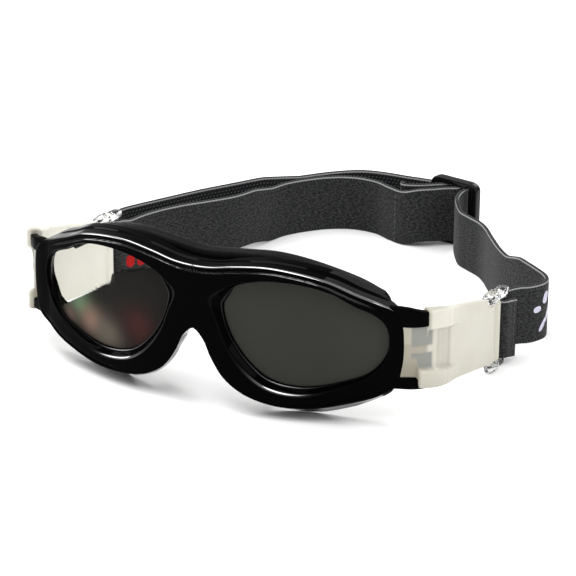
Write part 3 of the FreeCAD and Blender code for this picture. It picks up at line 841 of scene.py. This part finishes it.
def make_nose_pad(side):
    """A slim pad along the back of the rim's nasal edge, thinner at both ends."""
    line = smooth_line(NOSE_EDGE, 60)
    way = unit(np.gradient(line, axis=0))
    half_wide, half_deep = NOSE_HALF
    shape = round_box(half_wide, half_deep, 1.3, per=6)
    rows = []
    for k, (p, m) in enumerate(zip(line, np.stack([-way[:, 1], way[:, 0]], 1))):
        full = min(1.0, (min(k, len(line) - 1 - k) + 0.3) / 6.0) ** 0.5
        rows.append(wrapped(p + m * (half_wide + shape[:, :1] * full),
                            FRONT_DEPTH + PAD_GAP + half_deep * full + shape[:, 1] * full))
    name = SIDE_NAME[side]
    piece = mesh_object("nose_rest_" + name, *on_side(side, *tube(rows)), RUBBER)
    clean(piece)
    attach(piece, "front")
    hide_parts("nose_pad_" + name)


# ---- arms and rings ------------------------------------------------------------------------------

# the arm's edges as (y, z), how much lower the -X arm's lower edge hangs, and the web's edges by the sockets
ARM_LOW = [(8, 15.6), (64, 3.4), (67, 2.75), (80, 2.75)]
ARM_HIGH = [(8, 41.0), (24, 38.6), (56, 29.2), (61.8, 27.3), (63.4, 24.4), (65, 23.85), (80, 23.85)]
RIGHT_SAG = [(12, 0), (20, 1.5), (36, 3.4), (50, 2.5), (64, 1.2), (70, 0.6)]
WEB_LOW, WEB_HIGH = 16.4, 34.4
HEM_RADIUS = 2.1
SOCKET_RISE = 1.75
BEND_RUN = math.radians(-BEND_START) * BEND_RADIUS


def arm_plan(u):
    """Place and outward direction on the arm's middle plane, at run u from the bend's start."""
    a = np.radians(BEND_START) + np.clip(u, 0, BEND_RUN) / BEND_RADIUS
    x = ARM_X - BEND_RADIUS + BEND_RADIUS * np.cos(a)
    y = BEND_Y + BEND_RADIUS * np.sin(a)
    ahead, past = np.minimum(u, 0), np.maximum(u - BEND_RUN, 0)
    x = x - np.sin(a) * ahead
    y = y + np.cos(a) * ahead + past
    return x, y, np.cos(a), np.sin(a)


def arm_sides(y, u, v, sock, low_sock, end, side):
    """The arm's upright places z, its half thickness outwards and inwards there, its windows and its tone,
    which includes painted light and painted shade.
    """
    low = np.interp(y, *zip(*ARM_LOW)) - (np.interp(y, *zip(*RIGHT_SAG)) if side < 0 else 0)
    high = np.interp(y, *zip(*ARM_HIGH))
    low = WEB_LOW + (low - WEB_LOW) * smoothstep(u, low_sock - 0.3, low_sock + 0.3)
    high = WEB_HIGH + (high - WEB_HIGH) * smoothstep(u, sock - 0.3, sock + 0.3)
    z = low[:, None] + (high - low)[:, None] * v
    U, Y = u[:, None] + 0 * z, y[:, None] + 0 * z
    from_top, from_low = high[:, None] - z, z - low[:, None]
    edge = np.minimum(from_low, from_top)

    body = 0.9 - 0.1 * smoothstep(U, 12.8, 12.0)
    # sockets stand proud on the outside, as long ribs that fade out behind the prongs
    band = np.interp(U, [sock, end], [6.6, 2.6])
    up = smoothstep(from_top, 7.4, 5.8)
    dn = smoothstep(from_low, band + 0.7, band - 0.6)
    rib_up = smoothstep(U, sock - 0.1, sock + 0.6) * smoothstep(U, 28.0, 11.0) * up
    rib_dn = smoothstep(U, low_sock - 0.1, low_sock + 0.6) * (0.2 + 0.8 * smoothstep(U, 26.0, 10.0)) * dn
    rib = SOCKET_RISE * np.maximum(rib_up, rib_dn)
    inside = body + rib * smoothstep(U, 16, 13)
    # the panel is set off from the sockets by a shallow recess, and from the hem by a step
    recess = smoothstep(U, 8.2, 8.6) * smoothstep(U, 17.0, 16.6) * (1 - up) * (1 - dn)
    panel = smoothstep(U, 17.0, 17.5) * smoothstep(U, end - 4.4, end - 4.8) * (1 - dn)
    hole = smoothstep(U, -0.5, 0.3) * smoothstep(U, 7.0, 6.2)
    hole = hole * (1 - up * smoothstep(U, sock - 0.3, sock)) * (1 - dn)
    win = hole * np.maximum(smoothstep(z, 26.6, 27.5) * smoothstep(z, 34.0, 33.2),
                            smoothstep(z, 17.7, 18.6) * smoothstep(z, 25.0, 24.1))
    outside = body + rib - 0.3 * recess + 0.25 * panel - 0.3 * win
    # hem round the ring's bar
    hem = np.sqrt(np.maximum(HEM_RADIUS**2 - (Y - RING_FRONT_Y) ** 2, 0.0))
    fade, at_hem = smoothstep(U, end - 0.3, end - 1.6), U > end - 6
    outside = np.where(at_hem, np.maximum(outside * fade, hem * 0.82), outside)
    inside = np.where(at_hem, np.maximum(inside * fade, hem), inside)
    # all edges are rolled
    near = np.clip(edge / 0.7, 0, 1)
    lead = np.clip((u - u[0]) / 0.6, 0, 1)[:, None]
    roll = np.sqrt(near * (2 - near)) * np.sqrt(lead * (2 - lead))

    web = smoothstep(U, sock + 0.8, sock - 0.6) * (1 - smoothstep(U, low_sock, low_sock + 0.5) * dn)
    # tone: lower on the thin web and darker along the edges near the front; painted shade darkens the recess
    # and the lower edge, and painted light brightens the upper rib
    tone_and_painted_light = 0.58 - 0.32 * web - 0.12 * recess - 0.3 * smoothstep(edge, 0.5, 0.1) * smoothstep(U, 20, 8)
    tone_and_painted_light = tone_and_painted_light + 0.1 * up * smoothstep(U, 30, 12) - 0.12 * smoothstep(from_low, 9, 0) * smoothstep(U, 50, 5)
    # painted light: the -X arm's colour is made lighter from its sockets back
    if side < 0:
        tone_and_painted_light = tone_and_painted_light + 0.4 * smoothstep(U, 2, 12)
    return z, outside * roll, inside * roll, win, np.clip(tone_and_painted_light, 0, 1)


def make_arm(side):
    """The soft arm: two sockets, a web with two thin windows, a panel and a hem, as one moulding."""
    end = BEND_RUN + RING_FRONT_Y - BEND_Y + HEM_RADIUS
    sock = math.radians(-36 - BEND_START) * BEND_RADIUS
    u = np.unique(np.round(np.concatenate([
        np.linspace(-4.4, sock - 0.25, 30),
        sock + np.array([-0.15, -0.05, 0.0, 0.05, 0.15, 0.3, 0.5, 0.8, 1.2]),
        np.linspace(sock + 1.5, 22, 70), np.linspace(22, end - 5, 50),
        end - 5 * (1 - np.linspace(0, 1, 30) ** 0.6)]), 4))
    v = np.concatenate([[0, 0.004, 0.012, 0.025], np.linspace(0.045, 0.955, 96), [0.975, 0.988, 0.996, 1]])
    x, y, nx, ny = arm_plan(u)
    z, outside, inside, win, tone_and_painted_light = arm_sides(y, u, v, sock, sock - 2.8, end, side)
    rows, cols = z.shape
    points = np.vstack([np.stack([x[:, None] + nx[:, None] * half, y[:, None] + ny[:, None] * half, z], -1)
                        .reshape(-1, 3) for half in (outside, -inside)])
    faces = grid_faces(rows, cols) + flip(grid_faces(rows, cols, start=rows * cols))
    name = SIDE_NAME[side]
    piece = mesh_object("arm_" + name, *on_side(side, points, faces), FROSTED)
    store(piece, "thin", np.tile(win.ravel(), 2))
    store(piece, "tone_and_painted_light", np.tile(tone_and_painted_light.ravel(), 2))
    clean(piece, 0.000004)
    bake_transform(piece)
    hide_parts("arm_root_" + name, "arm_panel_" + name)


def lobe(y0, y1, z0, z1, half, seed):
    """A rounded clear cap with a slightly uneven, swollen outline."""
    wave = np.random.RandomState(seed).uniform(-0.12, 0.12, 4)
    rows, cols = 15, 40
    points = []
    for r in range(rows):
        lat = -math.pi / 2 + math.pi * (r + 0.5) / rows
        k = abs(math.cos(lat)) ** 0.45
        z = (z0 + z1) / 2 + (z1 - z0) / 2 * signed_power(math.sin(lat), 0.6)
        for c in range(cols):
            a = 2 * math.pi * c / cols
            swell = 1 + sum(w * math.sin((n + 2) * a + n) for n, w in enumerate(wave)) * 0.35
            points.append((ARM_X + half * swell * k * signed_power(math.cos(a), 0.8),
                           (y0 + y1) / 2 + (y1 - y0) / 2 * k * signed_power(math.sin(a), 0.75), z))
    return np.array(points), tube_faces(rows, cols)


def rod(y, radius, z0, z1):
    rows, cols = 12, 20
    ring = arc((ARM_X, y), radius, 0, 360 - 360 / cols, cols)
    return (np.array([(*p, z) for z in np.linspace(z0, z1, rows) for p in ring]), tube_faces(rows, cols))


def make_ring(side):
    """The clear ring: two swollen caps joined by the hem's bar and the strap's bar."""
    name = SIDE_NAME[side]
    low, top = RING_LOW_Z, RING_TOP_Z
    points, faces = join([
        lobe(62.6, 72.2, top - 1.7, top + 1.5, 2.3, 3), lobe(69.6, 78.9, top - 2.0, top + 0.5, 2.2, 5),
        lobe(65.4, 72.8, -0.35, low + 1.5, 2.0, 7), lobe(69.6, 78.2, -0.3, low + 0.9, 1.6, 9),
        rod(RING_FRONT_Y, 0.98, low + 0.2, top - 0.6), rod(RING_REAR_Y, 1.1, low + 0.2, top - 0.6)])
    piece = mesh_object("ring_" + name + "_clear", *on_side(side, points, faces), CLEAR)
    remesh = piece.modifiers.new("one_moulding", "REMESH")
    remesh.mode = "VOXEL"
    remesh.voxel_size = 0.00022
    remesh.use_smooth_shade = True
    relax = piece.modifiers.new("polish", "SMOOTH")
    relax.iterations = 6
    relax.factor = 0.5
    bake_modifiers(piece)
    piece.data.polygons.foreach_set("use_smooth", [True] * len(piece.data.polygons))
    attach(piece, "ring_" + name)
    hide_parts("strap_ring_" + name)


def bake_modifiers(piece):
    """Applies the piece's modifiers to its mesh."""
    graph = bpy.context.evaluated_depsgraph_get()
    done = bpy.data.meshes.new_from_object(piece.evaluated_get(graph))
    materials = list(piece.data.materials)
    piece.modifiers.clear()
    piece.data = done
    done.materials.clear()
    for m in materials:
        done.materials.append(m)


# ---- strap ---------------------------------------------------------------------------------------

ROUTE_STEP = 0.5
ROUTE_SEARCH = 60
PRINT_LIFT = 0.09
STITCH_PITCH, STITCH_LONG = 2.3, 1.6
STITCH_SHAPE = ((0, 0.02), (0.15, 0.2), (0.5, 0.27), (0.85, 0.2), (1.0, 0.02))
# The strap's sections in order along it. Each starts where the one before ended, and has its CAD node, the
# drawn point where it ends, the body it rides or the two it bends between, and that bend's start and end.
SECTIONS = {
    "strap_left_loop": ("strap_loop_left", SIDE_LEFT[0],
                        ("ring_left", "arm_left"), (ARM_X, 78.6), (75.6, 88.0)),
    "strap_left_side": ("strap_side_left", RUN_LEFT[0],
                        ("arm_left", "front"), (75.8, 88.6), (57.6, 116.2)),
    "strap_left_run": ("strap_run_left", SLIDER_BEND[0],
                       ("front", "slider"), (45.2, 130.6), (23.0, 152.0)),
    "strap_at_slider": ("strap_slider_bend", BACK_OUTER[0], ("slider",)),
    "strap_back_long": ("strap_back_outer", SIDE_OUTER[0],
                        ("slider", "front"), (7.5, 171.5), (-36, 156)),
    "strap_right_outer": ("strap_side_outer", SIDE_OUTER[5],
                          ("front", "arm_right"), (-49, 138.4), (-76.6, 89.6)),
    "strap_right_loop": ("strap_loop_right", SIDE_INNER[1],
                         ("ring_right", "arm_right"), (-ARM_X, 78.6), (-ARM_X, 87.0)),
    "strap_right_inner": ("strap_side_inner", BACK_INNER[0],
                          ("arm_right", "front"), (-68, 88), (-46, 126)),
    "strap_back_short": ("strap_back_inner", FOLD_FRONT[0],
                         ("front", "slider"), (-36, 151.4), (5.0, 156.6)),
    "strap_fold": ("strap_slider_fold", None, ("slider",)),
}


def strap_route():
    """The strap's plan line, its length so far and its lower edge's height, from the left flap to the fold at
    the slider, and the station of each drawn point."""
    left_turn = arc((ARM_X, RING_REAR_Y), LOOP_RADIUS, 0, -180, 9)
    right_turn = arc((-ARM_X, RING_REAR_Y), LOOP_RADIUS, 180, 360, 9)
    fold = arc(SLIDER[:2], LOOP_RADIUS, -60, 110, 7)
    plan, lows = [], []
    for points, low in (
            (LEFT_FLAP[:-1], 0.9), (left_turn, 1.9), (LEFT_LEAD[1:], 3.0), (SIDE_LEFT, 2.4),
            (RUN_LEFT, TABLE_Z), (SLIDER_BEND, 1.4), (BACK_OUTER, TABLE_Z), (SIDE_OUTER, 1.6),
            (right_turn, 3.0), (SIDE_INNER, 1.6), (BACK_INNER, TABLE_Z),
            (FOLD_FRONT + fold + FOLD_BACK, 1.4)):
        plan += points
        lows += [low] * len(points)
    plan = np.array(plan, float)
    run = run_along(plan)
    count = int(run[-1] / ROUTE_STEP)
    line = smooth_line(plan, count, per=30)
    length = run_along(line)
    stations = []
    for share, p in zip(run / run[-1], plan):
        guess = int(share * count)
        first = max(0, guess - ROUTE_SEARCH)
        stations.append(first + int(np.argmin(np.linalg.norm(line[first:guess + ROUTE_SEARCH] - p, axis=1))))
    low = np.interp(length, length[stations], lows)
    kernel = np.hanning(15)
    kernel /= kernel.sum()
    low = np.convolve(np.pad(low, 7, mode="edge"), kernel, mode="valid")
    return line, length, low, {tuple(np.round(p, 3)): k for p, k in zip(plan, stations)}


LINE, LENGTH, LOW, KNOT = strap_route()


def knot(point):
    return KNOT[tuple(np.round(np.array(point, float), 3))]


def strap_section():
    """The webbing's cross-section: (out, across from 0 to 1), a little thinner at both edges."""
    half = STRAP_THICK / 2
    across = np.concatenate([[0.012, 0.03, 0.05, 0.09], np.linspace(0.14, 0.86, 7),
                             [0.91, 0.95, 0.97, 0.988]])
    thick = np.where((across > 0.955) | (across < 0.045), half * 0.86, half)
    thick[1] = thick[-2] = half * 0.98
    face, tip = list(zip(thick, across)), half * 0.35
    rear = [(-t, a) for t, a in face[::-1]]
    return face + [(tip, 1.0), (-tip, 1.0)] + rear + [(-tip, 0.0), (tip, 0.0)]


def follow(piece, section):
    """Hangs the piece under the one body its section rides; a section between two bodies is only baked in
    place.
    """
    bodies, *bend = SECTIONS[section][2:]
    if bend:
        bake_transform(piece)
    else:
        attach(piece, *bodies)


def strap_piece(name, first, last):
    """The strap's named section, between two stations of the route."""
    section = np.array(strap_section())
    cols = len(section)
    ways = unit(np.gradient(LINE, axis=0)[first:last + 1])
    rows = []
    for k, (wx, wy) in zip(range(first, last + 1), ways):
        rows.append(np.stack([LINE[k, 0] - wy * section[:, 0], LINE[k, 1] + wx * section[:, 0],
                              LOW[k] + STRAP_WIDTH * section[:, 1]], 1))
    piece = mesh_object(name, *tube(rows), WEBBING)
    store(piece, "along", np.repeat(LENGTH[first:last + 1], cols))
    store(piece, "across", np.tile(section[:, 1], len(rows)))
    knit = (section[:, 0] > 0) * float("outer" in name or "long" in name)
    store(piece, "knit", np.tile(knit, len(rows)))
    clean(piece, 0.000001)
    crisp_caps(piece)
    follow(piece, name)
    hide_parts(SECTIONS[name][0])


def crisp_caps(piece):
    """The cut ends are flat and keep their own shading."""
    mesh = piece.data
    sharp = np.zeros(len(mesh.edges), bool)
    for face in mesh.polygons:
        if len(face.vertices) > 6:
            face.use_smooth = False
            for k in face.loop_indices:
                sharp[mesh.loops[k].edge_index] = True
    mark = mesh.attributes.new("sharp_edge", "BOOLEAN", "EDGE")
    mark.data.foreach_set("value", sharp)


def make_strap():
    first = 0
    for name, (_, stop, *_) in SECTIONS.items():
        last = knot(stop) if stop else len(LINE) - 1
        strap_piece(name, first, last)
        first = last


def on_strap(run, across, lift):
    """A point on the strap's face: run in mm along the route, across in mm from its lower edge."""
    x, y, wx, wy, low = [np.interp(run, LENGTH, v) for v in (*LINE.T, *np.gradient(LINE, axis=0).T, LOW)]
    size = np.hypot(wx, wy)
    return np.stack([x - wy / size * lift, y + wx / size * lift, low + across], -1)


def blob(run, across, long, wide, turn, lift):
    """A soft-edged oval mark printed on the strap."""
    rings, cols = 4, 36
    points = [on_strap(np.array(run), np.array(across), lift)]
    c, s = math.cos(math.radians(turn)), math.sin(math.radians(turn))
    for r in range(1, rings + 1):
        height = lift if r < rings else lift - math.copysign(0.1, lift)
        for k in range(cols):
            a = 2 * math.pi * k / cols
            x, y = [signed_power(t, 0.8) * size * r / rings
                    for t, size in ((math.cos(a), long), (math.sin(a), wide))]
            points.append(on_strap(np.array(run + x * c - y * s), np.array(across + x * s + y * c), height))
    faces = [(0, 1 + (k + 1) % cols, 1 + k) for k in range(cols)]
    return np.array(points), faces + grid_faces(rings, cols, wrap_cols=True, start=1)


def make_prints():
    """Generic marks: slanted ovals on one side, round dots on the other. Each has its run from a drawn point,
    its height on the strap, its half sizes and its turn."""
    lift = STRAP_THICK / 2 + PRINT_LIFT
    for name, node, slot, material, section, point, marks in (
            ("mark_pale", "print_left", "print_pale", PALE, "strap_left_side", SIDE_LEFT[2],
             [(0.6, 15.0, 2.2, 1.3, 70), (-3.0, 11.6, 1.5, 1.1, 10), (2.4, 9.0, 3.4, 0.8, 62),
              (-0.4, 5.6, 2.6, 0.8, 55)]),
            ("mark_red", "print_right", "print_red", RED, "strap_right_inner", SIDE_INNER[1],
             [(-6.6, 5.0, 2.3, 2.3, 0), (-0.8, 4.2, 2.3, 2.3, 0), (5.0, 3.4, 2.3, 2.3, 0)])):
        here = LENGTH[knot(point)]
        piece = mesh_object(name, *join([blob(here + run, *mark, -lift) for run, *mark in marks]), material)
        follow(piece, section)
        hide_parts(node)


def stitch_row(run, lift, low):
    """Eight short raised stitches, one above another."""
    foot_x, foot_y, _ = on_strap(np.array(run), np.array(0.0), lift)
    row = []
    for k in range(8):
        z = low + 0.6 + STITCH_PITCH * k
        rings = [[(*p, z + STITCH_LONG * t) for p in arc((foot_x, foot_y), r, 0, 315, 8)]
                 for t, r in STITCH_SHAPE]
        row.append(tube(rings))
    return row


def make_stitches():
    """Rows of short dark stitches: through the folds at the left ring and the slider, and on the back."""
    face = STRAP_THICK / 2 + 0.02
    fold = LENGTH[-1] - 3.2
    behind = LENGTH[int(np.argmin(np.linalg.norm(LINE - np.array([-2.9, 157.2]), axis=1)))]
    for name, node, section, rows in (
            ("stitches_ring", "seam_left", "strap_left_loop",
             stitch_row(1.3, face, 3.0) + stitch_row(1.3, -face, 3.0)),
            ("stitches_slider", "seam_slider", "strap_fold",
             stitch_row(fold, face, 1.6) + stitch_row(fold, -face, 1.6)),
            ("stitches_back", None, "strap_back_short", stitch_row(behind, -face, -0.3))):
        piece = mesh_object(name, *join(rows), THREAD)
        follow(piece, section)
        if node:
            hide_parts(node)


def make_slider():
    """The slider: a rounded frame, broader at its sides, with a centre bar set back inside it."""
    x0, y0, turn = SLIDER
    width, height, thick = SLIDER_SIZE
    path = resample(round_box(width / 2 - 1.8, height / 2 - BAR_HALF, 1.9, per=10), 120, closed=True)
    way = unit(np.roll(path, -1, 0) - np.roll(path, 1, 0))
    rows = []
    for p, m in zip(path, np.stack([way[:, 1], -way[:, 0]], 1)):
        shape = round_box(BAR_HALF + 0.85 * m[0] ** 2, thick / 2, 0.6, per=5)
        rows.append(np.stack([p[0] + m[0] * shape[:, 0], shape[:, 1], p[1] + m[1] * shape[:, 0]], 1))
    ring = np.vstack(rows), grid_faces(len(rows), len(rows[0]), wrap_rows=True, wrap_cols=True)
    shape = round_box(0.85, 0.85, 0.4, per=5)
    rows = [np.stack([shape[:, 0], shape[:, 1], np.full(len(shape), z)], 1)
            for z in np.linspace(-height / 2 + 1, height / 2 - 1, 12)]
    points, faces = join([ring, tube(rows)])
    x, y, z = points.T
    c, s = math.cos(math.radians(turn)), math.sin(math.radians(turn))
    spun = np.stack([x * c - y * s + x0, x * s + y * c + y0, z + TABLE_Z + height / 2], 1)
    piece = mesh_object("slider_frame", spun, faces, SLIDER_BLACK)
    clean(piece, 0.000001)
    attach(piece, "slider")
    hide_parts("slider")


# ---- camera, light and floor ---------------------------------------------------------------------

CAMERA_TURN, CAMERA_RISE, CAMERA_ROLL = 0.46787, 0.39358, 0.009227
CAMERA_DISTANCE = 1000.0
CAMERA_TARGET = np.array([0.054, 65.308, 15.791])
FLOOR_HALF = 4.0
# the area lights: place, aim, width, height, power
LIGHTS = {
    "key_above": ((-0.25, -0.12, 1.0), (-0.1, 0, 0), 2.0, 0.45, 15.0),
    "soft_left": ((-1.35, -0.15, 0.8), (0, 0, 0), 0.9, 0.6, 8.0),
    "soft_right": ((1.2, -0.1, 0.9), (0, 0, 0), 0.5, 0.8, 7.0),
    "soft_back": ((0.3, 1.3, 0.9), (0, 0, 0), 0.9, 0.4, 6.5),
}


def make_camera():
    """A long lens from the front left, a little above."""
    turn, rise, roll = CAMERA_TURN, CAMERA_RISE, CAMERA_ROLL
    back = np.array([math.sin(turn) * math.cos(rise), -math.cos(turn) * math.cos(rise), math.sin(rise)])
    level = np.array([math.cos(turn), math.sin(turn), 0.0])
    right = math.cos(roll) * level + math.sin(roll) * np.cross(back, level)
    world = Matrix(np.stack([right, np.cross(back, right), back], 1).tolist()).to_4x4()
    world.translation = to_frame(CAMERA_TARGET + CAMERA_DISTANCE * back).tolist()
    camera = bpy.data.objects.new("camera", bpy.data.cameras.new("camera"))
    camera.data.sensor_width = 36.0
    camera.data.lens = 188.17
    camera.data.clip_start = 0.01
    camera.data.clip_end = 20.0
    camera.matrix_world = world
    bpy.context.collection.objects.link(camera)
    bpy.context.scene.camera = camera


def area(name, place, aim, wide, tall, power):
    lamp = bpy.data.lights.new(name, "AREA")
    lamp.shape = "RECTANGLE"
    lamp.size, lamp.size_y = wide, tall
    lamp.energy = power
    holder = bpy.data.objects.new(name, lamp)
    holder.location = place
    holder.rotation_euler = (Vector(aim) - Vector(place)).to_track_quat("-Z", "Y").to_euler()
    bpy.context.collection.objects.link(holder)


def make_stage():
    """A large white floor under the goggles, an even pale surround and four soft lights."""
    mesh = bpy.data.meshes.new("floor")
    s, z = FLOOR_HALF, CAD_BOX[0].z
    mesh.from_pydata([(-s, -s, z), (s, -s, z), (s, s, z), (-s, s, z)], [], [(0, 1, 2, 3)])
    floor = bpy.data.objects.new("floor", mesh)
    n = Nodes("floor_white")
    n.value(Base_Color=(0.93, 0.93, 0.93, 1), Roughness=0.9, Specular_IOR_Level=0.1)
    mesh.materials.append(n.material)
    bpy.context.collection.objects.link(floor)
    world = bpy.data.worlds.new("studio")
    world.use_nodes = True
    sky = world.node_tree.nodes["Background"]
    sky.inputs[0].default_value = (1, 1, 1, 1)
    sky.inputs[1].default_value = 0.55
    bpy.context.scene.world = world
    for name, light in LIGHTS.items():
        area(name, *light)
    bpy.context.scene.view_settings.view_transform = "Standard"


make_camera()
make_stage()
make_front()
for hand in (1, -1):
    make_lens(hand)
    make_nose_pad(hand)
    make_arm(hand)
    make_ring(hand)
make_cushion()
make_strap()
make_prints()
make_stitches()
make_slider()
